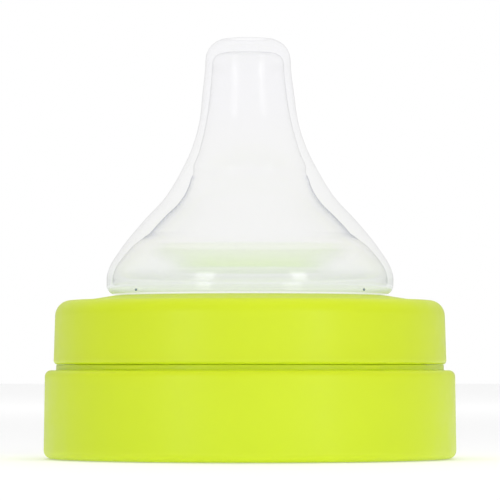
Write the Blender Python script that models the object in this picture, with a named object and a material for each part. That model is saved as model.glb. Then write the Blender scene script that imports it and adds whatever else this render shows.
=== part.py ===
"""Drinking head of a child's wide-neck bottle: a soft teat, the screw ring that holds it, the adapter
ring that screws on the bottle, and the adapter's seal.  Metres, +Z up, origin at the centre of the base."""

from math import cos, pi, radians, sin

import bmesh
import bpy
from mathutils import Vector
from mathutils.geometry import interpolate_bezier

MM = 0.001
GAP = 0.3 * MM          # clearance between pieces that touch on the real object
SEGMENTS = 40           # facets round every turned piece

# Adapter ring: lower tier, with the bottle's thread inside and the screw ring's thread on its neck.
SKIRT_RADIUS = 31.2 * MM
SKIRT_DRAFT = 0.15 * MM
SKIRT_WALL = 2.1 * MM
SKIRT_TOP = 13.3 * MM
SKIRT_FOOT_ROUND = 1.1 * MM
SKIRT_TOP_ROUND = 0.85 * MM
SKIRT_CHAMFER = 0.3 * MM
DECK_THICKNESS = 1.7 * MM
STEP_RADIUS = 28.7 * MM
STEP_HEIGHT = 0.55 * MM
NECK_RADIUS = 26.3 * MM
NECK_WALL = 2.1 * MM
NECK_TOP = 20.0 * MM
NECK_RIM_ROUND = 0.4 * MM

# Seal that the bottle's mouth presses against the adapter's deck, and the bead that keeps it in.
SEAL_THICKNESS = 1.1 * MM
SEAL_WIDTH = 4.4 * MM
SEAL_BEAD = 0.25 * MM
RETAINER_HEIGHT = 0.55 * MM
RETAINER_HALF_WIDTH = 0.35 * MM

# Screw ring: upper tier, which clamps the teat's flange on the adapter's neck.
RING_FOOT = SKIRT_TOP + STEP_HEIGHT + GAP
RING_RADIUS = 29.7 * MM
RING_DRAFT = 0.25 * MM
RING_WALL = 1.85 * MM
RING_DECK = 23.85 * MM
RING_HUB = 24.6 * MM
RING_LIP_UNDERSIDE = 22.2 * MM
RING_FOOT_ROUND = 0.6 * MM
RING_SHOULDER_ROUND = 2.2 * MM
HUB_RADIUS = 20.6 * MM
HUB_SLOPE_RADIUS = 23.6 * MM
HOLE_RADIUS = 19.2 * MM
HOLE_ROUND = 0.4 * MM

# Threads: right-handed, two starts, so ridges repeat every half lead.
LEAD = 6.0 * MM
STARTS = 2
RIDGE_HEIGHT = 1.0 * MM
RIDGE_BASE = 1.5 * MM
RIDGE_CREST = 0.7 * MM
RIDGE_ROOT = 0.5 * MM   # how deep a ridge is rooted in its wall
RIDGE_STEPS = 40        # sections in each full turn of a ridge
RUN_OUT = radians(20)   # angle over which a ridge rises from its wall
NECK_RIDGE_FOOT = 14.95 * MM
NECK_RIDGE_SWEEP = radians(235)
RING_RIDGE_SWEEP = radians(235)
BOTTLE_RIDGE_FOOT = 2.4 * MM
BOTTLE_RIDGE_SWEEP = radians(330)

# Stop lugs moulded in the groove between the tiers, in two opposite pairs.
LUG_PROUD = 0.45 * MM
LUG_HEIGHT = 0.45 * MM
LUG_CENTRES = [radians(angle) for angle in (-128, -52, 52, 128)]
LUG_SWEEP = radians(9)

# Teat: dome, flank, neck and tip, with a groove and flange below the dome.
TIP_TOP = 63.55 * MM
TIP_RADIUS = 6.45 * MM
TIP_ROUND = 3.4 * MM
DIMPLE_RADIUS = 2.8 * MM
DIMPLE_DEPTH = 1.0 * MM
FLOW_HOLE_RADIUS = 0.4 * MM
MEMBRANE = 1.1 * MM
FLANK_POINT = (14.2 * MM, 37.8 * MM)
FLANK_RUN = (0.66, -0.75)       # direction down the flank
NECK_RUN = (0.05, -1.0)         # direction down the neck below the tip
DOME_RADIUS = 21.7 * MM
DOME_HEIGHT = 27.1 * MM
DOME_FOOT_ROUND = 1.5 * MM
DOME_FOOT = RING_HUB + GAP
DOME_WALL = 1.0 * MM
DOME_FLOOR = DOME_FOOT + 1.2 * MM
GROOVE_RADIUS = HOLE_RADIUS - 0.4 * MM
THROAT_RADIUS = 17.2 * MM
FLANGE_TOP = RING_LIP_UNDERSIDE - GAP
FLANGE_FOOT = NECK_TOP + GAP
FLANGE_RADIUS = 26.2 * MM
FLANGE_ROUND = 0.4 * MM
SHELF_OUTER = (17.9 * MM, 32.2 * MM)
SHELF_RUN = (0.62, -0.78)       # direction down the thin wall below the shelf
THICK_FOOT = (15.3 * MM, 33.95 * MM)
THICK_TOP = (9.05 * MM, 42.2 * MM)
THIN_FOOT = (8.3 * MM, 44.3 * MM)
THIN_RUN = (0.42, -0.9)         # direction down the neck's foot
CAVITY_TOP_RADIUS = 5.4 * MM
CAVITY_CORNER = 1.3 * MM
CAVITY_CROWN = 0.4 * MM
FLOOR_CHAMFER = 0.6 * MM
FLOOR_CORNER = 1.1 * MM
VENT_RADIUS = 1.3 * MM
VENT_BORE_RADIUS = 0.6 * MM
VENT_DROP = 1.8 * MM
VENT_FLOOR = 0.5 * MM
VENT_PITCH_RADIUS = 22.0 * MM
VENT_ANGLES = [0.0, pi]

LIME = (0.72, 0.87, 0.035)
CLEAR = (0.93, 0.94, 0.93)
MILKY = (0.86, 0.88, 0.86)


def clear_scene():
    for thing in list(bpy.data.objects):
        bpy.data.objects.remove(thing, do_unlink=True)


def plastic(name, colour, roughness, alpha=1.0):
    material = bpy.data.materials.new(name)
    material.use_nodes = True
    shader = material.node_tree.nodes["Principled BSDF"]
    shader.inputs["Base Color"].default_value = (*colour, 1.0)
    shader.inputs["Roughness"].default_value = roughness
    shader.inputs["Metallic"].default_value = 0.0
    shader.inputs["Alpha"].default_value = alpha
    return material


# Outlines are lists of (radius, height) points.

def arc(centre, radius, start, end, steps=3):
    """Points on a circle arc in the outline's plane, from start to end in degrees."""
    angles = [radians(start + (end - start) * i / steps) for i in range(steps + 1)]
    return [(centre[0] + radius * cos(a), centre[1] + radius * sin(a)) for a in angles]


def bezier(start, start_handle, end_handle, end, steps):
    """Points on a cubic curve, without its first point."""
    corners = [Vector((*point, 0.0)) for point in (start, start_handle, end_handle, end)]
    return [(point.x, point.y) for point in interpolate_bezier(*corners, steps + 1)][1:]


def along(point, direction, distance):
    return (point[0] + direction[0] * distance, point[1] + direction[1] * distance)


def new_object(name, bm, material):
    bmesh.ops.remove_doubles(bm, verts=bm.verts, dist=1e-7)
    bmesh.ops.recalc_face_normals(bm, faces=bm.faces)
    mesh = bpy.data.meshes.new(name)
    bm.to_mesh(mesh)
    bm.free()
    mesh.shade_smooth()
    mesh.set_sharp_from_angle(angle=radians(35))
    thing = bpy.data.objects.new(name, mesh)
    if material:
        mesh.materials.append(material)
    bpy.context.scene.collection.objects.link(thing)
    return thing


def turned(name, outline, material=None):
    """A closed outline, clear of the axis, spun once round Z."""
    bm = bmesh.new()
    ring = [bm.verts.new((radius, 0.0, height)) for radius, height in outline]
    edges = [bm.edges.new((ring[i - 1], ring[i])) for i in range(len(ring))]
    bmesh.ops.spin(bm, geom=ring + edges, axis=(0, 0, 1), cent=(0, 0, 0), angle=2 * pi,
                   steps=SEGMENTS, use_merge=True)
    return new_object(name, bm, material)


def swept(name, sections):
    """A closed solid through a list of sections, each a list of four points."""
    bm = bmesh.new()
    rows = [[bm.verts.new(point) for point in section] for section in sections]
    for row, after in zip(rows, rows[1:]):
        for i in range(4):
            bm.faces.new((row[i - 1], row[i], after[i], after[i - 1]))
    bm.faces.new(rows[0])
    bm.faces.new(rows[-1])
    return helper(new_object(name, bm, None))


def helper(thing):
    thing.hide_render = True
    thing.display_type = "WIRE"
    return thing


def combine(thing, others, operation="UNION"):
    for other in others:
        modifier = thing.modifiers.new(f"{operation.lower()}_{other.name}", "BOOLEAN")
        modifier.operation = operation
        modifier.solver = "EXACT"
        modifier.object = other


def on_circle(radius, angle, height):
    return (radius * cos(angle), radius * sin(angle), height)


def thread_ridges(name, wall_radius, outward, foot, sweep, first_angle):
    """One helical ridge for each start.  Its crest stands off the wall by RIDGE_HEIGHT, and dies into the
    wall over RUN_OUT at each end."""
    side = 1 if outward else -1
    root_radius = wall_radius - side * RIDGE_ROOT
    steps = round(RIDGE_STEPS * sweep / (2 * pi))
    ridges = []
    for start in range(STARTS):
        sections = []
        for i in range(steps + 1):
            turn = sweep * i / steps
            rise = min(turn, sweep - turn) / RUN_OUT
            crest_radius = wall_radius + side * RIDGE_HEIGHT * min(1.0, rise - 0.1)
            angle = first_angle + 2 * pi * start / STARTS + turn
            middle = foot + LEAD * turn / (2 * pi)
            sections.append([
                on_circle(root_radius, angle, middle - RIDGE_BASE / 2),
                on_circle(crest_radius, angle, middle - RIDGE_CREST / 2),
                on_circle(crest_radius, angle, middle + RIDGE_CREST / 2),
                on_circle(root_radius, angle, middle + RIDGE_BASE / 2),
            ])
        ridges.append(swept(f"{name}_{start + 1}", sections))
    return ridges


def stop_lugs():
    """Short blocks standing proud of the step in the groove between the tiers."""
    lugs = []
    steps = 2
    foot = SKIRT_TOP - RIDGE_ROOT
    top = SKIRT_TOP + LUG_HEIGHT
    for number, centre in enumerate(LUG_CENTRES, 1):
        sections = []
        for i in range(steps + 1):
            angle = centre + LUG_SWEEP * (i / steps - 0.5)
            inner = STEP_RADIUS - RIDGE_ROOT
            outer = STEP_RADIUS + LUG_PROUD
            sections.append([on_circle(inner, angle, foot), on_circle(outer, angle, foot),
                             on_circle(outer, angle, top), on_circle(inner, angle, top)])
        lugs.append(swept(f"stop_lug_{number}", sections))
    return lugs


def adapter_outline():
    wall = SKIRT_RADIUS - SKIRT_WALL
    foot_corner = (SKIRT_RADIUS - SKIRT_FOOT_ROUND, SKIRT_FOOT_ROUND)
    top_corner = (SKIRT_RADIUS - SKIRT_DRAFT - SKIRT_TOP_ROUND, SKIRT_TOP - SKIRT_TOP_ROUND)
    step_top = SKIRT_TOP + STEP_HEIGHT
    bore = NECK_RADIUS - NECK_WALL
    rim = NECK_TOP - NECK_RIM_ROUND
    deck_underside = SKIRT_TOP - DECK_THICKNESS
    retainer = deck_underside - SEAL_THICKNESS - 2 * GAP - RETAINER_HALF_WIDTH
    return [
        (wall + SKIRT_CHAMFER, 0.0),
        *arc(foot_corner, SKIRT_FOOT_ROUND, -90, 0),
        *arc(top_corner, SKIRT_TOP_ROUND, 0, 90),
        (STEP_RADIUS, SKIRT_TOP),
        (STEP_RADIUS, step_top),
        (NECK_RADIUS, step_top),
        *arc((NECK_RADIUS - NECK_RIM_ROUND, rim), NECK_RIM_ROUND, 0, 90, 2),
        *arc((bore + NECK_RIM_ROUND, rim), NECK_RIM_ROUND, 90, 180, 2),
        (bore, deck_underside),
        (wall, deck_underside),
        (wall, retainer + RETAINER_HALF_WIDTH),
        (wall - RETAINER_HEIGHT, retainer),
        (wall, retainer - RETAINER_HALF_WIDTH),
        (wall, SKIRT_CHAMFER),
    ]


def make_adapter_ring(lime):
    adapter = turned("adapter_ring", adapter_outline(), lime)
    neck_ridges = thread_ridges("neck_ridge", NECK_RADIUS, True, NECK_RIDGE_FOOT,
                                NECK_RIDGE_SWEEP, 0.0)
    bottle_ridges = thread_ridges("bottle_ridge", SKIRT_RADIUS - SKIRT_WALL, False,
                                  BOTTLE_RIDGE_FOOT, BOTTLE_RIDGE_SWEEP, 0.0)
    combine(adapter, neck_ridges + bottle_ridges + stop_lugs())
    return adapter


def make_bottle_seal(milky):
    """Flat washer with a small bead round the middle of its lower face, where the bottle's mouth bites."""
    top = SKIRT_TOP - DECK_THICKNESS - GAP
    foot = top - SEAL_THICKNESS
    outer = SKIRT_RADIUS - SKIRT_WALL - GAP
    inner = outer - SEAL_WIDTH
    middle = (outer + inner) / 2
    outline = [
        (inner, foot), (middle - 2 * SEAL_BEAD, foot), (middle, foot - SEAL_BEAD),
        (middle + 2 * SEAL_BEAD, foot), (outer, foot), (outer, top), (inner, top),
    ]
    return turned("bottle_seal", outline, milky)


def ring_outline():
    wall = RING_RADIUS - RING_WALL
    foot_corner = (RING_RADIUS - RING_FOOT_ROUND, RING_FOOT + RING_FOOT_ROUND)
    shoulder = (RING_RADIUS - RING_DRAFT - RING_SHOULDER_ROUND, RING_DECK - RING_SHOULDER_ROUND)
    slope_start = (HUB_SLOPE_RADIUS, RING_DECK)
    slope_end = (HUB_RADIUS, RING_HUB)
    middle = (HUB_SLOPE_RADIUS + HUB_RADIUS) / 2
    return [
        (wall, RING_FOOT),
        *arc(foot_corner, RING_FOOT_ROUND, -90, 0),
        *arc(shoulder, RING_SHOULDER_ROUND, 0, 90, 5),
        slope_start,
        *bezier(slope_start, (middle, RING_DECK), (middle, RING_HUB), slope_end, 4),
        *arc((HOLE_RADIUS + HOLE_ROUND, RING_HUB - HOLE_ROUND), HOLE_ROUND, 90, 180, 2),
        (HOLE_RADIUS, RING_LIP_UNDERSIDE),
        (wall, RING_LIP_UNDERSIDE),
    ]


def make_screw_ring(lime):
    ring = turned("screw_ring", ring_outline(), lime)
    first_angle = radians(-50)
    # Half a ridge pitch above the neck's ridges, so the two threads mesh.
    foot = NECK_RIDGE_FOOT + LEAD / (2 * STARTS) + LEAD * first_angle / (2 * pi)
    combine(ring, thread_ridges("ring_ridge", RING_RADIUS - RING_WALL, False, foot,
                                RING_RIDGE_SWEEP, first_angle))
    return ring


def teat_outside():
    """From the flow hole out over the tip and down the flank to the groove and flange."""
    dimple_floor = TIP_TOP - DIMPLE_DEPTH
    tip_centre = (TIP_RADIUS - TIP_ROUND, TIP_TOP - TIP_ROUND)
    tip_edge = (TIP_RADIUS, TIP_TOP - TIP_ROUND)
    dome_side = (DOME_RADIUS, DOME_HEIGHT)
    foot_centre = (DOME_RADIUS - DOME_FOOT_ROUND, DOME_FOOT + DOME_FOOT_ROUND)
    flange_edge = FLANGE_RADIUS - FLANGE_ROUND
    return [
        (FLOW_HOLE_RADIUS, dimple_floor),
        (DIMPLE_RADIUS, dimple_floor),
        *arc(tip_centre, TIP_ROUND, 90, 0, 5),
        *bezier(tip_edge, along(tip_edge, NECK_RUN, 11 * MM),
                along(FLANK_POINT, FLANK_RUN, -9 * MM), FLANK_POINT, 7),
        *bezier(FLANK_POINT, along(FLANK_POINT, FLANK_RUN, 6 * MM),
                along(dome_side, (0.0, 1.0), 3.4 * MM), dome_side, 5),
        *arc(foot_centre, DOME_FOOT_ROUND, 0, -90),
        (GROOVE_RADIUS, DOME_FOOT),
        (GROOVE_RADIUS, FLANGE_TOP),
        *arc((flange_edge, FLANGE_TOP - FLANGE_ROUND), FLANGE_ROUND, 90, 0, 2),
        *arc((flange_edge, FLANGE_FOOT + FLANGE_ROUND), FLANGE_ROUND, 0, -90, 2),
    ]


def teat_inside():
    """From the mouth of the throat up through the dome and neck to the flow hole."""
    dome_inner = DOME_RADIUS - DOME_WALL
    bulge = (dome_inner, DOME_HEIGHT + 0.3 * MM)
    cavity_top = TIP_TOP - DIMPLE_DEPTH - MEMBRANE
    corner_centre = (CAVITY_TOP_RADIUS - CAVITY_CORNER, cavity_top - CAVITY_CROWN - CAVITY_CORNER)
    neck_top = (CAVITY_TOP_RADIUS, corner_centre[1])
    return [
        (THROAT_RADIUS + FLOOR_CHAMFER, FLANGE_FOOT),
        (THROAT_RADIUS, FLANGE_FOOT + FLOOR_CHAMFER),
        (THROAT_RADIUS, DOME_FLOOR - FLOOR_CHAMFER),
        (THROAT_RADIUS + FLOOR_CHAMFER, DOME_FLOOR),
        (dome_inner - FLOOR_CORNER, DOME_FLOOR),
        bulge,
        *bezier(bulge, along(bulge, (0.0, 1.0), 2 * MM),
                along(SHELF_OUTER, SHELF_RUN, 2 * MM), SHELF_OUTER, 4),
        THICK_FOOT,
        *bezier(THICK_FOOT, along(THICK_FOOT, FLANK_RUN, -5 * MM),
                along(THICK_TOP, (0.1, -1.0), 2.5 * MM), THICK_TOP, 4),
        THIN_FOOT,
        *bezier(THIN_FOOT, along(THIN_FOOT, THIN_RUN, -5 * MM),
                along(neck_top, NECK_RUN, 6 * MM), neck_top, 5),
        *arc(corner_centre, CAVITY_CORNER, 0, 90, 2)[1:],
        (FLOW_HOLE_RADIUS, cavity_top),
    ]


def vent_pegs(name, radius, foot, top):
    """Plain upright pegs at the vents' places under the flange."""
    pegs = []
    for number, angle in enumerate(VENT_ANGLES, 1):
        bm = bmesh.new()
        bmesh.ops.create_cone(bm, cap_ends=True, segments=12, radius1=radius, radius2=radius,
                              depth=top - foot)
        centre = on_circle(VENT_PITCH_RADIUS, angle, (foot + top) / 2)
        bmesh.ops.translate(bm, verts=bm.verts, vec=centre)
        pegs.append(helper(new_object(f"{name}_{number}", bm, None)))
    return pegs


def make_teat(clear):
    teat = turned("teat", teat_outside() + teat_inside(), clear)
    foot = FLANGE_FOOT - VENT_DROP
    combine(teat, vent_pegs("vent_boss", VENT_RADIUS, foot, FLANGE_TOP - 2 * GAP))
    combine(teat, vent_pegs("vent_bore", VENT_BORE_RADIUS, foot + VENT_FLOOR, FLANGE_TOP + GAP),
            "DIFFERENCE")
    return teat


def axis_empty(name, height, parent=None):
    """Empty on the screw's axis that the moving pieces hang on."""
    empty = bpy.data.objects.new(name, None)
    bpy.context.scene.collection.objects.link(empty)
    empty.parent = parent
    empty.location = (0.0, 0.0, height)
    return empty


def hang(thing, empty, height):
    """Parents a piece modelled in place to an empty at that height, and keeps its place."""
    thing.parent = empty
    thing.location = (0.0, 0.0, -height)


def main():
    clear_scene()
    lime = plastic("lime_plastic", LIME, 0.3)
    clear = plastic("clear_silicone", CLEAR, 0.12, alpha=0.35)
    milky = plastic("seal_silicone", MILKY, 0.45)
    make_adapter_ring(lime)
    make_bottle_seal(milky)
    teat = make_teat(clear)
    ring = make_screw_ring(lime)
    lift = axis_empty("head_lift_axis", NECK_TOP)
    screw = axis_empty("ring_turn_axis", 0.0, parent=lift)
    hang(teat, lift, NECK_TOP)
    hang(ring, screw, NECK_TOP)


main()
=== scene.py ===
"""Looks of a child's bottle drinking head: clear silicone teat, lime screw ring, lime adapter ring and seal.

Laid out as an add-on whose operators build one piece each around the fixed frame.  Metres, +Z up,
origin at the centre of the adapter ring's lower rim, front towards -Y."""

import bpy
import numpy as np
from bpy.props import FloatProperty, FloatVectorProperty, PointerProperty
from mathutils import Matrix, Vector


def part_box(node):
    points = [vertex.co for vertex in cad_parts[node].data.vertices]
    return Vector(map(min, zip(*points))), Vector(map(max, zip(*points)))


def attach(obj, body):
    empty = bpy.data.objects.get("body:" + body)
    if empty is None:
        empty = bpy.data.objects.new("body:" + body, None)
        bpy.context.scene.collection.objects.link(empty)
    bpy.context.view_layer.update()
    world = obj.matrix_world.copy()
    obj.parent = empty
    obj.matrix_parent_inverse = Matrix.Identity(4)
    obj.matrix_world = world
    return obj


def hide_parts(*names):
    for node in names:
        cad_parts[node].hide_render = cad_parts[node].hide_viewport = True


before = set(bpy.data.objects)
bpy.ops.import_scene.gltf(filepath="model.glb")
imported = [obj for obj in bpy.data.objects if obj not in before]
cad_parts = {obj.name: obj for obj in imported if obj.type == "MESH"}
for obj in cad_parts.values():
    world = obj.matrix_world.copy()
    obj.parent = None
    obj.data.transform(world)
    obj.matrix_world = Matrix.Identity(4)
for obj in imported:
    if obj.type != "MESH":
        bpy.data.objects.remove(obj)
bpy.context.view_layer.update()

bl_info = {
    "name": "Bottle Drinking Head",
    "version": (1, 0, 0),
    "blender": (4, 5, 0),
    "location": "3D View > Sidebar > Drinking Head",
    "description": "Builds a silicone teat with its screw ring, adapter ring and seal",
    "category": "Add Mesh",
}

MM = 0.001
FULL_TURN = 2 * np.pi
STARTS = 2              # both threads have two starts


# Sizes, colours and stage

def length(name, value, description):
    """Length property with its default in metres."""
    return FloatProperty(name=name, default=value, min=0.0, unit="LENGTH", description=description)


def colour(name, value, description):
    return FloatVectorProperty(name=name, default=value, size=3, min=0.0, max=1.0, subtype="COLOR",
                               description=description)


class HeadSizes(bpy.types.PropertyGroup):
    """Sizes shared by the pieces.  Outer sizes come from the frame's boxes."""

    skirt_radius: length("Skirt radius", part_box("adapter_ring")[1].x, "Adapter ring, outside, near its foot")
    skirt_top: length("Skirt top", 13.3 * MM, "Height of the adapter ring's lower tier")
    step_radius: length("Step radius", 29.3 * MM, "Bottom of the groove between the tiers")
    skirt_wall: length("Skirt wall", 2.1 * MM, "Wall that carries the bottle's thread")
    neck_top: length("Neck top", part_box("adapter_ring")[1].z, "Height of the neck's rim")
    neck_radius: length("Neck radius", 26.3 * MM, "Adapter's neck, outside, between its ridges")
    neck_wall: length("Neck wall", 2.1 * MM, "Thickness of the adapter's neck")
    ring_radius: length("Ring radius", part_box("screw_ring")[1].x, "Screw ring, outside, near its foot")
    ring_foot: length("Ring foot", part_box("screw_ring")[0].z, "Height of the screw ring's lower edge")
    ring_top: length("Ring top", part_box("screw_ring")[1].z, "Height of the hub round the teat")
    ring_wall: length("Ring wall", 1.85 * MM, "Wall that carries the screw ring's thread")
    hole_radius: length("Hole radius", 19.2 * MM, "Hole that the teat's groove sits in")
    lead: length("Lead", 6.0 * MM, "Rise of a thread in one full turn")
    ridge_height: length("Ridge height", 1.0 * MM, "How far a thread's ridge stands off its wall")
    tip_top: length("Tip top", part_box("teat")[1].z, "Height of the teat's tip")
    dome_radius: length("Dome radius", 21.7 * MM, "Widest part of the teat's dome")
    flange_radius: length("Flange radius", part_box("teat")[1].x, "Teat's flange under the screw ring")
    vent_circle: length("Vent circle", 22.0 * MM, "Distance of the two vents from the axis")
    vent_radius: length("Vent radius", 1.3 * MM, "Vent tube, outside")
    vent_bore: length("Vent bore", 0.6 * MM, "Vent tube, inside")
    vent_depth: length("Vent depth", 1.8 * MM, "How far a vent hangs below the flange")
    tip_lean: length("Tip lean", 0.3 * MM, "How far the soft tip leans to -X")
    clearance: length("Clearance", 0.3 * MM, "Gap between touching pieces")


class HeadColours(bpy.types.PropertyGroup):
    """Base colours of the three finishes, with painted green light, painted ring reflections and a painted
    dark line in the silicone.
    """

    lime: colour("Lime plastic", (0.74, 0.90, 0.022), "Moulded rings")
    haze: colour("Silicone haze", (0.58, 0.58, 0.60), "Faint cloud in the teat's skin")
    neck_haze: colour("Neck haze", (0.54, 0.52, 0.76), "Haze in the teat's neck")
    # Painted green light: the haze low in the dome is coloured as if the rings lit it
    low_haze_painted_green: colour("Low haze", (0.46, 0.84, 0.46), "Haze low in the dome, lit by the rings")
    # Painted reflection of the rings, in a band in the dome
    painted_ring_reflection: colour("Glow", (0.58, 0.92, 0.04), "Band in the dome that mirrors the rings")
    # Painted reflection of the ring at the dome's lower edge
    foot_painted_reflection: colour("Foot haze", (0.56, 0.72, 0.08), "Dome's lower edge, which takes up the ring's colour")
    # Painted dark line, standing in for the dark reflection where the inner wall is seen edge on
    line: colour("Silicone line", (0.05, 0.12, 0.48), "Inner wall of the teat, seen edge on")
    seal: colour("Seal silicone", (0.86, 0.88, 0.86), "Washer in the adapter ring")
    floor: colour("Floor", (0.9, 0.9, 0.9), "Pale floor")


class HeadStage(bpy.types.PropertyGroup):
    """Camera and studio light."""

    camera_distance: length("Camera distance", 0.616, "From the axis, towards -Y")
    camera_height: length("Camera height", 0.0136, "Above the floor")
    target_height: length("Target height", 0.0315, "Point on the axis at the picture's centre")
    lens: FloatProperty(name="Lens", default=0.293 / MM, min=1.0, unit="CAMERA",
                        description="Focal length in millimetres")
    key_power: FloatProperty(name="Key power", default=0.9, min=0.0, unit="POWER",
                             description="Large softbox in front")
    side_power: FloatProperty(name="Side power", default=0.3, min=0.0, unit="POWER",
                              description="Each of the two small softboxes at the front's sides")
    top_power: FloatProperty(name="Top power", default=2.4, min=0.0, unit="POWER",
                             description="Overhead softbox")
    front_light: FloatProperty(name="Front light", default=0.35, min=0.0, max=1.0, subtype="FACTOR",
                               description="Brightness of the room towards the front")
    back_light: FloatProperty(name="Back light", default=0.6, min=0.0, max=1.0, subtype="FACTOR",
                              description="Brightness of the room towards the back")


# Outlines: arrays of (radius, height) that run up the outside and down the inside

def unit(vectors):
    """Rows scaled to length one."""
    return vectors / np.linalg.norm(vectors, axis=-1, keepdims=True)


def rounded(corners, steps=6):
    """Outline whose corners (radius, height, rounding) become arcs.

    An arc's centre lies on the corner's bisector, rounding / sin(half angle) from the corner, and its points
    are the spherical blend of the directions from that centre to the two tangent points."""
    corners = np.array(corners, float)
    corner, rounding = corners[:, :2], corners[:, 2:]
    to_last = unit(np.roll(corner, 1, axis=0) - corner)
    to_next = unit(np.roll(corner, -1, axis=0) - corner)
    half = np.arccos(np.clip((to_last * to_next).sum(1, keepdims=True), -1, 1)) / 2
    centre = corner + unit(to_last + to_next) * rounding / np.sin(half)
    first = corner + to_last * rounding / np.tan(half) - centre
    last = corner + to_next * rounding / np.tan(half) - centre
    turn = np.pi - 2 * half
    share = np.linspace(0, 1, steps + 1)[:, None, None]
    arcs = centre + (np.sin((1 - share) * turn) * first + np.sin(share * turn) * last) / np.sin(turn)
    return distinct(arcs.transpose(1, 0, 2).reshape(-1, 2))


def distinct(outline):
    """Outline without points that repeat the one before."""
    gap = np.linalg.norm(outline - np.roll(outline, 1, axis=0), axis=1)
    return outline[gap > 1e-7]


def refined(outline, step):
    """Closed outline with more points on each straight run, so that none is longer than step.  step is one
    length, or one for each run."""
    run = np.roll(outline, -1, axis=0) - outline
    count = np.maximum(1, np.ceil(np.linalg.norm(run, axis=1) / step)).astype(int)
    index = np.repeat(np.arange(len(outline)), count)
    place = np.arange(count.sum()) - np.repeat(np.cumsum(count) - count, count)
    return outline[index] + run[index] * (place / count[index])[:, None]


def smooth_run(knots, first_run, last_run, steps):
    """Curve through all knots, without its last point.

    Between two knots it is a cubic Hermite curve.  The slope at an inner knot is the mean of the slopes on
    its two sides, weighted by the other side's length, and the end slopes are given."""
    knots = np.array(knots, float)
    chord = np.linalg.norm(np.diff(knots, axis=0), axis=1, keepdims=True)
    slope = np.diff(knots, axis=0) / chord
    inner = (slope[:-1] * chord[1:] + slope[1:] * chord[:-1]) / (chord[:-1] + chord[1:])
    slope = np.vstack([unit(np.array(first_run, float)), inner, unit(np.array(last_run, float))])
    t = np.linspace(0, 1, steps, endpoint=False)[:, None, None]
    points = ((1 + 2 * t) * (1 - t) ** 2 * knots[:-1] + t * (1 - t) ** 2 * slope[:-1] * chord
              + t ** 2 * (3 - 2 * t) * knots[1:] - t ** 2 * (1 - t) * slope[1:] * chord)
    return points.transpose(1, 0, 2).reshape(-1, 2)


def smooth_step(value):
    """0 below 0, 1 above 1, and 3v^2 - 2v^3 between."""
    value = np.clip(value, 0, 1)
    return value * value * (3 - 2 * value)


def even_angles(count):
    return np.linspace(0, FULL_TURN, count, endpoint=False)


def turned(name, outline, angles, shape=None, attributes=None, centre=(0.0, 0.0)):
    """Closed surface of revolution on a grid of outline points by angles.

    Point (i, j) is outline point i turned to angle j.  shape takes the radius, height and angle of every grid
    point, and returns the radius and height that it should have.  attributes holds named values for each
    outline point, which the mesh keeps for its material.  centre is where the upright axis stands."""
    radius, angle = np.meshgrid(outline[:, 0], angles, indexing="ij")
    height = np.repeat(outline[:, 1:], len(angles), axis=1)
    if shape:
        radius, height = shape(radius, height, angle)
    x, y = centre[0] + radius * np.cos(angle), centre[1] + radius * np.sin(angle)
    points = np.stack([x, y, height], axis=-1)
    rows, columns = radius.shape
    index = np.arange(rows * columns).reshape(rows, columns)
    right = np.roll(index, -1, axis=1)
    faces = np.stack([index, right, np.roll(right, -1, axis=0), np.roll(index, -1, axis=0)], axis=-1)
    mesh = bpy.data.meshes.new(name)
    mesh.from_pydata(points.reshape(-1, 3), [], faces.reshape(-1, 4).tolist())
    mesh.shade_smooth()
    for attribute, values in (attributes or {}).items():
        mesh.attributes.new(attribute, "FLOAT", "POINT").data.foreach_set("value", np.repeat(values, columns))
    piece = bpy.data.objects.new(name, mesh)
    bpy.context.scene.collection.objects.link(piece)
    return piece


def thread_ridge(height, angle, lead, foot, sweep, first_angle):
    """How far a two-start thread stands off its wall at each point, from 0 to 1.

    Each start's ridge follows height = foot + lead * turn / full turn.  A smooth step of the distance
    from that line makes its flanks, and a smooth step of the turn makes its run-out at both ends."""
    crest, flank, run_out = 0.45 * MM, 0.55 * MM, np.radians(22)
    ridge = np.zeros_like(height)
    for start in range(STARTS):
        turn = (angle - first_angle - start * FULL_TURN / STARTS) % FULL_TURN
        beside = np.abs(height - foot - lead * turn / FULL_TURN) - crest
        ends = smooth_step(np.minimum(turn, sweep - turn) / run_out)
        ridge = np.maximum(ridge, smooth_step(1 - beside / flank) * ends)
    return ridge


def on_wall(radius, wall):
    """1 on an upright wall of that radius, 0 elsewhere."""
    return (np.abs(radius - wall) < 0.01 * MM).astype(float)


# Materials

# Heights between which the dome's painted reflection band of the rings comes in, thins out and ends, with its
# strength at both
REFLECTION_BAND_EDGES = [
    (28.2 * MM, 28.6 * MM, 0.0, 1.0),
    (28.6 * MM, 32.0 * MM, 1.0, 0.6),
    (31.9 * MM, 32.4 * MM, 1.0, 0.0),
]
RANGE_SOCKETS = ("From Min", "From Max", "To Min", "To Max")


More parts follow.
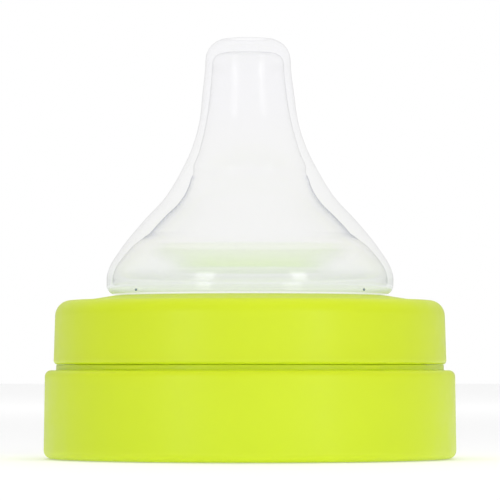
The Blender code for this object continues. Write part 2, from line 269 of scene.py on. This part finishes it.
class NodeTree:
    """Short way to add and join a material's nodes."""

    def __init__(self, name):
        self.material = bpy.data.materials.new(name)
        self.material.use_nodes = True
        self.tree = self.material.node_tree
        self.shader = self.tree.nodes["Principled BSDF"]

    def set(self, **values):
        """Sets the shader's own sockets, named in lower case with underscores."""
        for socket in self.shader.inputs:
            key = socket.name.lower().replace(" ", "_")
            if key in values:
                socket.default_value = values[key]

    def node(self, kind, links=(), **values):
        """Adds a node, sets its sockets by name, and links each (socket, output) pair."""
        node = self.tree.nodes.new(kind)
        for key, value in values.items():
            node.inputs[key.replace("_", " ")].default_value = value
        for socket, output in links:
            self.tree.links.new(output, node.inputs[socket])
        return node

    def link(self, output, socket):
        self.tree.links.new(output, self.shader.inputs[socket])

    def attribute(self, name):
        """Value of a mesh attribute."""
        node = self.node("ShaderNodeAttribute")
        node.attribute_name = name
        return node.outputs["Fac"]

    def math(self, operation, *values):
        """Math node on outputs and plain numbers."""
        node = self.node("ShaderNodeMath")
        node.operation = operation
        for socket, value in zip(node.inputs, values):
            if isinstance(value, (int, float)):
                socket.default_value = value
            else:
                self.tree.links.new(value, socket)
        return node.outputs["Value"]

    def axis(self, axis):
        """Object coordinate along an axis, in metres."""
        place = self.node("ShaderNodeTexCoord").outputs["Object"]
        return self.node("ShaderNodeSeparateXYZ", [("Vector", place)]).outputs[axis]

    def ranged(self, value, start, end, at_start, at_end):
        """Smooth step from at_start to at_end as a value goes from start to end."""
        ranged = self.node("ShaderNodeMapRange", [("Value", value)])
        ranged.interpolation_type = "SMOOTHSTEP"
        for socket, number in zip(RANGE_SOCKETS, (start, end, at_start, at_end)):
            ranged.inputs[socket].default_value = number
        return ranged.outputs["Result"]

    def mix_colour(self, factor, low, high):
        """Colour that goes from low to high, each an output or a plain colour, with a factor."""
        node = self.node("ShaderNodeMix")
        node.data_type = "RGBA"
        for socket, value in zip((node.inputs[0], node.inputs[6], node.inputs[7]), (factor, low, high)):
            if isinstance(value, bpy.types.NodeSocket):
                self.tree.links.new(value, socket)
            else:
                socket.default_value = (*value, 1.0)
        return node.outputs[2]

    def mix_shader(self, share, other):
        """Shows another shader for a share of the light, and the main one for the rest."""
        mix = self.node("ShaderNodeMixShader", [("Fac", share)])
        self.tree.links.new(self.shader.outputs["BSDF"], mix.inputs[1])
        self.tree.links.new(other, mix.inputs[2])
        self.tree.links.new(mix.outputs["Shader"], self.tree.nodes["Material Output"].inputs["Surface"])

    def noise(self, scale, detail=2.0, stretch=(1.0, 1.0, 1.0)):
        """Noise on object coordinates, with scale in waves per metre."""
        place = self.node("ShaderNodeTexCoord").outputs["Object"]
        mapping = self.node("ShaderNodeMapping", [("Vector", place)], Scale=stretch)
        noise = self.node("ShaderNodeTexNoise", [("Vector", mapping.outputs["Vector"])],
                          Scale=scale, Detail=detail)
        return noise.outputs["Fac"]

    def varied(self, scale, detail, low, high):
        """Noise whose middle, 0.3 to 0.7, runs from low to high."""
        return self.ranged(self.noise(scale, detail), 0.3, 0.7, low, high)

    def blend(self, factor, low, high):
        """Colour that goes from low to high with a factor."""
        ramp = self.node("ShaderNodeValToRGB", [("Fac", factor)])
        ramp.color_ramp.elements[0].color = (*low, 1.0)
        ramp.color_ramp.elements[1].color = (*high, 1.0)
        return ramp.outputs["Color"]

    def bump(self, heights):
        """Chains (height output, depth in metres) pairs into the shader's normal."""
        normal = None
        for output, depth in heights:
            links = [("Height", output)] + ([("Normal", normal)] if normal else [])
            bump = self.node("ShaderNodeBump", links, Strength=1.0, Distance=depth)
            normal = bump.outputs["Normal"]
        self.link(normal, "Normal")


def lime_plastic(name, lime):
    """Moulded polypropylene: satin, a little light in its depth, faint clouding and flow lines."""
    nodes = NodeTree(name)
    nodes.set(subsurface_weight=0.35, subsurface_radius=(1.0, 1.0, 0.25), subsurface_scale=2.0 * MM,
              ior=1.49, specular_ior_level=0.45)
    clouds = nodes.noise(45.0, 3.0)
    lime = np.array(lime)
    nodes.link(nodes.blend(clouds, lime * 0.96, np.minimum(lime * 1.03, 1.0)), "Base Color")
    nodes.link(nodes.varied(420.0, 4.0, 0.32, 0.40), "Roughness")
    flow_lines, grain = nodes.noise(60.0, 1.0, (1.0, 1.0, 0.35)), nodes.noise(1500.0, 2.0)
    nodes.bump([(flow_lines, 0.02 * MM), (grain, 0.0008 * MM)])
    return nodes.material


def moulding_marks(nodes, height):
    """1 in the small pits low on the dome's front, left and right, and 0 elsewhere; the material paints them
    dark, as painted shade.
    """
    aside = nodes.math("SUBTRACT", nodes.math("ABSOLUTE", nodes.axis("X")), 16.9 * MM)
    above = nodes.math("SUBTRACT", height, 25.25 * MM)
    squares = [nodes.math("POWER", offset, 2.0) for offset in (aside, above)]
    inside = nodes.math("LESS_THAN", nodes.math("SQRT", nodes.math("ADD", *squares)), 0.2 * MM)
    return nodes.math("MULTIPLY", inside, nodes.math("LESS_THAN", nodes.axis("Y"), 0.0))


def clear_silicone(name, colours):
    """Clear silicone: see-through, with a faint haze in its skin, a painted thin dark line where its inner
    wall is seen edge on, which stands in for the dark reflection there, and gloss that grows towards the
    edges.

    The haze covers a small share of the light.  Low in the dome it is thicker and painted with the rings'
    green light, most of all at the foot, which carries a painted reflection of the ring, and in a band where
    the wall faces the eye, which is a painted reflection of the rings."""
    nodes = NodeTree(name)
    nodes.set(roughness=0.15, ior=1.41)
    wall = nodes.attribute("inner_wall")
    facing = nodes.node("ShaderNodeLayerWeight", Blend=0.5).outputs["Facing"]
    height = nodes.axis("Z")
    # Painted reflection of the rings: a band low in the dome, where the wall faces the eye
    turned_away = nodes.math("ADD", facing, nodes.ranged(height, 28.0 * MM, 32.0 * MM, 0.06, -0.24))
    band = nodes.ranged(turned_away, 0.13, 0.30, 1.0, 0.0)
    for start, end, at_start, at_end in REFLECTION_BAND_EDGES:
        band = nodes.math("MULTIPLY", band, nodes.ranged(height, start, end, at_start, at_end))
    # Painted green light low in the dome (low), and painted reflection of the ring at the dome's foot (foot)
    low = nodes.ranged(height, 24.6 * MM, 32.6 * MM, 1.0, 0.0)
    foot = nodes.ranged(height, 24.9 * MM, 26.0 * MM, 1.0, 0.0)
    neck = nodes.ranged(height, 46.0 * MM, 56.0 * MM, 0.0, 1.0)
    colour = nodes.mix_colour(neck, colours.haze, colours.neck_haze)
    colour = nodes.mix_colour(low, colour, colours.low_haze_painted_green)
    colour = nodes.mix_colour(band, colour, colours.painted_ring_reflection)
    colour = nodes.mix_colour(foot, colour, colours.foot_painted_reflection)
    # Painted dark line where the inner wall is seen edge on, and painted shade in the pits, both in the line
    # colour
    mark = moulding_marks(nodes, height)
    nodes.link(nodes.mix_colour(nodes.math("ADD", wall, mark), colour, colours.line), "Base Color")
    # Haze coverage: thicker low in the dome, thicker still where the painted reflections show (the band, the
    # foot and the foot's edges), and on the painted pits
    cloud = nodes.math("MULTIPLY_ADD", low, 0.045, 0.045)
    cloud = nodes.math("MULTIPLY_ADD", band, 0.16, cloud)
    cloud = nodes.math("MULTIPLY_ADD", foot, 0.11, cloud)
    rim = nodes.math("MULTIPLY", foot, nodes.math("POWER", facing, 2.0))
    cloud = nodes.math("MULTIPLY_ADD", rim, 0.4, cloud)
    cloud = nodes.math("MULTIPLY_ADD", mark, 0.5, cloud)
    skin = nodes.math("LESS_THAN", wall, 0.01)
    # Coverage of the painted dark line, which rises steeply where the inner wall is seen edge on
    edge = nodes.math("POWER", facing, nodes.math("MULTIPLY_ADD", wall, -17.0, 26.0))
    edge = nodes.math("MULTIPLY", edge, nodes.math("MULTIPLY", wall, 0.82))
    nodes.link(nodes.math("MULTIPLY_ADD", cloud, skin, edge), "Alpha")
    nodes.bump([(nodes.noise(110.0, 2.0, (1.0, 1.0, 0.5)), 0.02 * MM)])
    gloss = nodes.node("ShaderNodeBsdfAnisotropic", Roughness=0.1)
    share = nodes.math("MULTIPLY_ADD", nodes.math("POWER", facing, 5.0), 0.3, 0.02)
    share = nodes.math("MULTIPLY_ADD", nodes.ranged(height, 27.4 * MM, 28.6 * MM, 1.0, 0.0), 0.045, share)
    plain = nodes.math("MAXIMUM", nodes.math("COMPARE", wall, 0.05, 0.03), foot)
    nodes.mix_shader(nodes.math("MULTIPLY", share, nodes.math("SUBTRACT", 1.0, plain)), gloss.outputs["BSDF"])
    return nodes.material


def seal_silicone(name, milky):
    """Milky silicone with a fine matt skin."""
    nodes = NodeTree(name)
    nodes.set(subsurface_weight=0.6, subsurface_radius=(1.0, 1.0, 1.0), subsurface_scale=1.5 * MM, ior=1.41)
    clouds = nodes.noise(90.0, 3.0)
    milky = np.array(milky)
    nodes.link(nodes.blend(clouds, milky * 0.97, milky), "Base Color")
    nodes.link(nodes.varied(700.0, 3.0, 0.42, 0.55), "Roughness")
    nodes.bump([(nodes.noise(3000.0, 3.0), 0.006 * MM)])
    return nodes.material


def finished(piece, material, body, node):
    """Gives a piece its material, and tells the frame what it rides on and stands for."""
    piece.data.materials.append(material)
    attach(piece, body)
    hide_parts(node)
    return piece


# Pieces

class MESH_OT_adapter_ring(bpy.types.Operator):
    """Lower tier of the collar, with the bottle's thread inside and the screw ring's thread on its neck"""

    bl_idname = "mesh.head_adapter_ring"
    bl_label = "Adapter Ring"

    def outline(self, sizes):
        outer, top, wall = sizes.skirt_radius, sizes.skirt_top, sizes.skirt_radius - sizes.skirt_wall
        neck, bore = sizes.neck_radius, sizes.neck_radius - sizes.neck_wall
        step, deck = sizes.ring_foot - 0.03 * MM, top - 1.7 * MM
        retainer = deck - 2.05 * MM
        return rounded([
            (outer, 0.0, 1.2 * MM),
            (outer - 0.2 * MM, top, 0.95 * MM),
            (sizes.step_radius, top, 0.15 * MM),
            (sizes.step_radius, step, 0.15 * MM),
            (neck, step, 0.25 * MM),
            (neck, sizes.neck_top, 0.4 * MM),
            (bore, sizes.neck_top, 0.4 * MM),
            (bore, deck, 0.3 * MM),
            (wall, deck, 0.3 * MM),
            (wall, retainer + 0.5 * MM, 0.1 * MM),
            (wall - 0.55 * MM, retainer, 0.2 * MM),
            (wall, retainer - 0.5 * MM, 0.1 * MM),
            (wall, 0.0, 0.35 * MM),
        ])

    def execute(self, context):
        sizes = context.scene.head_sizes
        outline = self.outline(sizes)
        wall, neck = sizes.skirt_radius - sizes.skirt_wall, sizes.neck_radius
        threaded = on_wall(outline[:, 0], wall) + on_wall(outline[:, 0], neck)
        outline = refined(outline, np.where(threaded, 0.16 * MM, 0.7 * MM))
        lug_angles = np.radians([-129.5, -52.25, 50.5, 127.75])
        lug_halves = np.radians([7.5, 3.75, 7.5, 3.75])

        def shape(radius, height, angle):
            """Ridges stand off the neck outwards and off the skirt's wall inwards, and lugs off the step."""
            on_neck = thread_ridge(height, angle, sizes.lead, 14.95 * MM, np.radians(235), 0.0)
            in_skirt = thread_ridge(height, angle, sizes.lead, 2.4 * MM, np.radians(330), 0.0)
            lug = np.zeros_like(radius)
            for middle, half in zip(lug_angles, lug_halves):
                off = np.abs((angle - middle + np.pi) % FULL_TURN - np.pi)
                lug = np.maximum(lug, smooth_step((half - off) / np.radians(1.0)))
            low = height < sizes.ring_foot - 0.1 * MM
            ridges = on_neck * on_wall(radius, neck) - in_skirt * on_wall(radius, wall)
            moved = radius + sizes.ridge_height * ridges
            return moved + 0.2 * MM * lug * low * on_wall(radius, sizes.step_radius), height

        piece = turned("adapter_ring_finished", outline, even_angles(320), shape)
        finished(piece, lime_plastic("adapter_lime", context.scene.head_colours.lime),
                 "adapter", "adapter_ring")
        return {"FINISHED"}


class MESH_OT_bottle_seal(bpy.types.Operator):
    """Washer between the bottle's mouth and the adapter ring's deck"""

    bl_idname = "mesh.head_bottle_seal"
    bl_label = "Bottle Seal"

    def execute(self, context):
        low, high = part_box("bottle_seal")
        inner, foot, bead = high.x - 4.4 * MM, high.z - 1.1 * MM, 0.25 * MM
        middle = (inner + high.x) / 2
        outline = rounded([
            (high.x, foot, 0.25 * MM),
            (high.x, high.z, 0.25 * MM),
            (inner, high.z, 0.25 * MM),
            (inner, foot, 0.25 * MM),
            (middle - 0.55 * MM, foot, 0.1 * MM),
            (middle, foot - bead, 0.15 * MM),
            (middle + 0.55 * MM, foot, 0.1 * MM),
        ])
        piece = turned("bottle_seal_finished", refined(outline, 0.5 * MM), even_angles(256))
        finished(piece, seal_silicone("seal_milky", context.scene.head_colours.seal),
                 "adapter", "bottle_seal")
        return {"FINISHED"}


class MESH_OT_screw_ring(bpy.types.Operator):
    """Upper tier of the collar, whose deck holds the teat's flange on the adapter's neck"""

    bl_idname = "mesh.head_screw_ring"
    bl_label = "Screw Ring"

    def outline(self, sizes):
        outer, foot, wall = sizes.ring_radius, sizes.ring_foot, sizes.ring_radius - sizes.ring_wall
        deck, hub, lip = sizes.ring_top - 0.75 * MM, sizes.ring_top, sizes.ring_top - 2.4 * MM
        return rounded([
            (outer, foot, 0.6 * MM),
            (outer - 0.3 * MM, deck, 2.4 * MM),
            (24.9 * MM, deck + 0.03 * MM, 20.0 * MM),
            (20.4 * MM, hub, 4.0 * MM),
            (sizes.hole_radius, hub, 0.4 * MM),
            (sizes.hole_radius, lip, 0.3 * MM),
            (wall, lip, 0.5 * MM),
            (wall, foot, 0.3 * MM),
        ], steps=9)

    def execute(self, context):
        sizes = context.scene.head_sizes
        outline = self.outline(sizes)
        wall = sizes.ring_radius - sizes.ring_wall
        outline = refined(outline, np.where(on_wall(outline[:, 0], wall), 0.16 * MM, 0.7 * MM))
        first_angle = np.radians(-50)
        foot = 14.95 * MM + sizes.lead * (0.5 / STARTS + first_angle / FULL_TURN)

        def shape(radius, height, angle):
            """Ridges stand off the wall inwards, half a pitch above the neck's."""
            ridge = thread_ridge(height, angle, sizes.lead, foot, np.radians(235), first_angle)
            return radius - sizes.ridge_height * ridge * on_wall(radius, wall), height

        piece = turned("screw_ring_finished", outline, even_angles(320), shape)
        finished(piece, lime_plastic("ring_lime", context.scene.head_colours.lime),
                 "ring", "screw_ring")
        return {"FINISHED"}


class MESH_OT_teat(bpy.types.Operator):
    """Clear silicone teat with its tip, neck, flank, dome, groove, flange and vents"""

    bl_idname = "mesh.head_teat"
    bl_label = "Teat"

    def outline(self, sizes):
        tip, dome, flange = sizes.tip_top, sizes.dome_radius, sizes.flange_radius
        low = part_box("adapter_ring")[1].z + sizes.clearance
        top = sizes.ring_top - 2.4 * MM - sizes.clearance
        foot = sizes.ring_top + 0.06 * MM
        groove, throat, floor = sizes.hole_radius - 0.4 * MM, 17.2 * MM, foot + 1.2 * MM
        outside = smooth_run([
            (dome, 27.1 * MM), (21.25 * MM, 28.9 * MM), (19.85 * MM, 31.2 * MM), (16.0 * MM, 36.0 * MM),
            (12.8 * MM, 39.5 * MM), (10.45 * MM, 43.3 * MM), (8.7 * MM, 46.9 * MM), (7.58 * MM, 50.5 * MM),
            (6.92 * MM, 55.4 * MM), (6.48 * MM, 59.6 * MM),
        ], (0.0, 1.0), (-0.04, 1.0), 12)
        inside = smooth_run([
            (5.42 * MM, 59.7 * MM), (5.75 * MM, 55.7 * MM), (6.25 * MM, 52.0 * MM), (7.0 * MM, 48.6 * MM),
            (7.8 * MM, 45.9 * MM), (8.5 * MM, 44.3 * MM),
        ], (0.04, -1.0), (0.4, -1.0), 12)
        band = smooth_run([(8.5 * MM, 44.3 * MM), (8.55 * MM, 43.2 * MM), (9.0 * MM, 42.0 * MM)],
                          (0.3, -1.0), (0.25, -1.0), 8)
        flank = smooth_run([
            (9.0 * MM, 42.0 * MM), (9.55 * MM, 40.5 * MM), (10.7 * MM, 38.7 * MM), (12.9 * MM, 36.5 * MM),
            (15.2 * MM, 33.95 * MM),
        ], (0.25, -1.0), (0.62, -0.78), 12)
        shelf = smooth_run([(15.2 * MM, 33.95 * MM), (16.6 * MM, 32.95 * MM), (17.8 * MM, 32.0 * MM)],
                           (0.9, -0.5), (0.7, -0.7), 6)
        thin = smooth_run([
            (17.8 * MM, 32.0 * MM), (19.3 * MM, 30.3 * MM), (20.35 * MM, 28.7 * MM),
            (dome - 0.9 * MM, 27.0 * MM),
        ], (0.65, -0.75), (0.0, -1.0), 10)
        below = rounded([
            (throat, floor, 0.5 * MM), (throat, low, 0.5 * MM), (flange, low, 0.4 * MM),
            (flange, top, 0.4 * MM),
            (groove, top, 0.3 * MM), (groove, foot, 0.3 * MM), (dome, foot, 1.5 * MM), (dome, 40 * MM, 0.0),
            (17.0 * MM, 40 * MM, 0.0),
        ])
        below = below[below[:, 1] < 30 * MM]
        above = rounded([
            (6.48 * MM, 59.0 * MM, 0.0), (6.4 * MM, tip, 3.3 * MM), (2.8 * MM, tip, 0.3 * MM),
            (2.7 * MM, tip - 1.0 * MM, 0.2 * MM), (0.4 * MM, tip - 1.0 * MM, 0.1 * MM),
            (0.4 * MM, tip - 1.95 * MM, 0.1 * MM), (5.4 * MM, tip - 2.35 * MM, 1.6 * MM),
            (5.42 * MM, 59.0 * MM, 0.0),
        ])
        above = above[above[:, 1] > 59.65 * MM]
        corner = rounded([(dome - 0.9 * MM, 30 * MM, 0.0), (dome - 0.9 * MM, floor, 0.8 * MM),
                          (throat + 1.0 * MM, floor, 0.0)])
        corner = corner[(corner[:, 1] < 29 * MM) & (corner[:, 0] > throat + 1.5 * MM)]
        return distinct(np.vstack([outside, above, inside, band, flank, shelf, thin, corner, below]))

    def inner_wall(self, outline, sizes):
        """How strongly the painted dark line shows where each outline point's wall is seen edge on: 0 on the
        skin, hardly on the shelf at the foot and in the tip's recess, more on the cavity's wall, and most on
        its thick flank."""
        radius, height = outline[:, 0], outline[:, 1]
        past_tip = np.arange(len(outline)) > np.argmax(height)
        cavity = past_tip & (height < sizes.tip_top - 1.94 * MM) & (height > sizes.ring_top + 1.6 * MM)
        cavity &= radius < sizes.dome_radius - 0.85 * MM
        foot = past_tip & (height <= sizes.ring_top + 1.6 * MM) & (radius < sizes.hole_radius + 1.6 * MM)
        foot &= (height > sizes.ring_top - 0.5 * MM) & (radius > 17 * MM)
        heights = np.array([32.9, 33.2, 42.6, 43.0, 44.2, 44.6]) * MM
        flank = np.interp(height, heights, [0.4, 1, 1, 0.1, 0.1, 0.4])
        recess = past_tip & (height >= sizes.tip_top - 1.94 * MM) & (radius < 2.85 * MM)
        return np.maximum(flank * cavity, 0.05 * (foot | recess))

    def execute(self, context):
        sizes = context.scene.head_sizes
        outline = refined(self.outline(sizes), 0.5 * MM)
        inner_wall = {"inner_wall": self.inner_wall(outline, sizes)}

        def shape(radius, height, angle):
            """The soft neck leans a little to -X, more towards the tip."""
            share = smooth_step((height - 38 * MM) / (22 * MM)) * smooth_step(radius / (3 * MM))
            return radius - sizes.tip_lean * share * np.cos(angle), height

        silicone = clear_silicone("teat_silicone", context.scene.head_colours)
        piece = turned("teat_finished", outline, even_angles(216), shape, inner_wall)
        finished(piece, silicone, "teat", "teat")
        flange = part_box("adapter_ring")[1].z + sizes.clearance
        top, bottom = flange + 0.1 * MM, flange - sizes.vent_depth
        vent = rounded([
            (sizes.vent_radius, bottom, 0.2 * MM), (sizes.vent_radius, top, 0.0),
            (sizes.vent_bore, top, 0.0), (sizes.vent_bore, bottom, 0.1 * MM),
        ])
        for side, x in (("left", -sizes.vent_circle), ("right", sizes.vent_circle)):
            piece = turned(f"teat_vent_{side}", vent, even_angles(48), centre=(x, 0.0))
            finished(piece, silicone, "teat", "teat")
        return {"FINISHED"}


# Stage

class SCENE_OT_head_stage(bpy.types.Operator):
    """Pale floor, soft studio light and camera"""

    bl_idname = "scene.head_stage"
    bl_label = "Stage"

    def floor(self, colours):
        angle = even_angles(96)
        points = np.stack([3 * np.cos(angle), 3 * np.sin(angle), np.full_like(angle, -0.1 * MM)], axis=-1)
        mesh = bpy.data.meshes.new("floor")
        mesh.from_pydata(points.tolist(), [], [list(range(len(points)))])
        floor = bpy.data.objects.new("floor", mesh)
        bpy.context.scene.collection.objects.link(floor)
        nodes = NodeTree("floor_paint")
        nodes.set(base_color=(*colours.floor, 1.0), roughness=0.7, specular_ior_level=0.1,
                  emission_color=(1.0, 1.0, 1.0, 1.0))
        place = nodes.node("ShaderNodeTexCoord").outputs["Object"]
        away = nodes.node("ShaderNodeVectorMath", [("Vector", place)])
        away.operation = "LENGTH"
        nodes.link(nodes.ranged(away.outputs["Value"], 0.1, 0.9, 0.23, 0.55), "Emission Strength")
        mesh.materials.append(nodes.material)

    def softbox(self, name, place, target, size, power, glossy=True):
        """Area light of a width and height, at a place and turned to a target.  A glossy one shows in
        gloss."""
        lamp = bpy.data.lights.new(name, "AREA")
        lamp.shape, lamp.energy = "RECTANGLE", power
        lamp.size, lamp.size_y = size
        light = bpy.data.objects.new(name, lamp)
        light.location = place
        light.rotation_euler = (Vector(target) - Vector(place)).to_track_quat("-Z", "Y").to_euler()
        light.visible_camera = False
        light.visible_glossy = glossy
        bpy.context.scene.collection.objects.link(light)

    def sky(self, stage):
        """White room, darker towards the front, where the studio is.  The camera sees it white all round."""
        world = bpy.data.worlds.new("studio_white")
        bpy.context.scene.world = world
        world.use_nodes = True
        tree = world.node_tree
        place = tree.nodes.new("ShaderNodeTexCoord").outputs["Generated"]
        split = tree.nodes.new("ShaderNodeSeparateXYZ")
        tree.links.new(place, split.inputs["Vector"])
        ranged = tree.nodes.new("ShaderNodeMapRange")
        ranged.interpolation_type = "SMOOTHSTEP"
        tree.links.new(split.outputs["Y"], ranged.inputs["Value"])
        for socket, value in zip(RANGE_SOCKETS, (0.1, 0.85, stage.front_light, stage.back_light)):
            ranged.inputs[socket].default_value = value
        seen = tree.nodes.new("ShaderNodeLightPath").outputs["Is Camera Ray"]
        strength = tree.nodes.new("ShaderNodeMath")
        strength.operation = "MAXIMUM"
        tree.links.new(ranged.outputs["Result"], strength.inputs[0])
        tree.links.new(seen, strength.inputs[1])
        background = tree.nodes["Background"]
        background.inputs["Color"].default_value = (1.0, 1.0, 1.0, 1.0)
        tree.links.new(strength.outputs["Value"], background.inputs["Strength"])

    def camera(self, stage):
        lens = bpy.data.cameras.new("camera")
        lens.lens, lens.sensor_width = stage.lens, 36.0
        camera = bpy.data.objects.new("camera", lens)
        camera.location = (0.0, -stage.camera_distance, stage.camera_height)
        aim = Vector((0.0, 0.0, stage.target_height)) - camera.location
        camera.rotation_euler = aim.to_track_quat("-Z", "Y").to_euler()
        bpy.context.scene.collection.objects.link(camera)
        bpy.context.scene.camera = camera

    def execute(self, context):
        stage = context.scene.head_stage_settings
        self.floor(context.scene.head_colours)
        target = (0.0, 0.0, 0.03)
        self.softbox("left_softbox", (-0.40, -0.54, 0.16), target, (0.19, 0.34), stage.side_power)
        self.softbox("right_softbox", (0.43, -0.52, 0.16), target, (0.15, 0.34), stage.side_power)
        self.softbox("key_softbox", (0.18, -0.7, 0.3), target, (0.5, 0.5), stage.key_power, glossy=False)
        self.softbox("top_softbox", (0.0, 0.0, 0.7), (0, 0, 0), (0.6, 0.6), stage.top_power, glossy=False)
        self.sky(stage)
        self.camera(stage)
        context.scene.view_settings.view_transform = "Standard"
        for limit in ("max_bounces", "glossy_bounces", "transmission_bounces", "transparent_max_bounces"):
            setattr(context.scene.cycles, limit, 32)
        return {"FINISHED"}


class VIEW3D_PT_drinking_head(bpy.types.Panel):
    """Lists the head's operators and their sizes"""

    bl_idname = "VIEW3D_PT_drinking_head"
    bl_label = "Drinking Head"
    bl_space_type = "VIEW_3D"
    bl_region_type = "UI"
    bl_category = "Drinking Head"

    def draw(self, context):
        for operator in OPERATORS:
            self.layout.operator(operator.bl_idname)
        for group in ("head_sizes", "head_colours", "head_stage_settings"):
            settings = getattr(context.scene, group)
            box = self.layout.box()
            for name in settings.__annotations__:
                box.prop(settings, name)


OPERATORS = (MESH_OT_adapter_ring, MESH_OT_bottle_seal, MESH_OT_teat, MESH_OT_screw_ring, SCENE_OT_head_stage)
GROUPS = {"head_sizes": HeadSizes, "head_colours": HeadColours, "head_stage_settings": HeadStage}


def register():
    for item in (*GROUPS.values(), *OPERATORS, VIEW3D_PT_drinking_head):
        bpy.utils.register_class(item)
    for name, group in GROUPS.items():
        setattr(bpy.types.Scene, name, PointerProperty(type=group))


def unregister():
    for name in GROUPS:
        delattr(bpy.types.Scene, name)
    for item in (VIEW3D_PT_drinking_head, *reversed(OPERATORS), *GROUPS.values()):
        bpy.utils.unregister_class(item)


def main():
    """Builds every piece and the stage."""
    register()
    bpy.ops.mesh.head_adapter_ring()
    bpy.ops.mesh.head_bottle_seal()
    bpy.ops.mesh.head_teat()
    bpy.ops.mesh.head_screw_ring()
    bpy.ops.scene.head_stage()


if __name__ == "__main__":
    main()
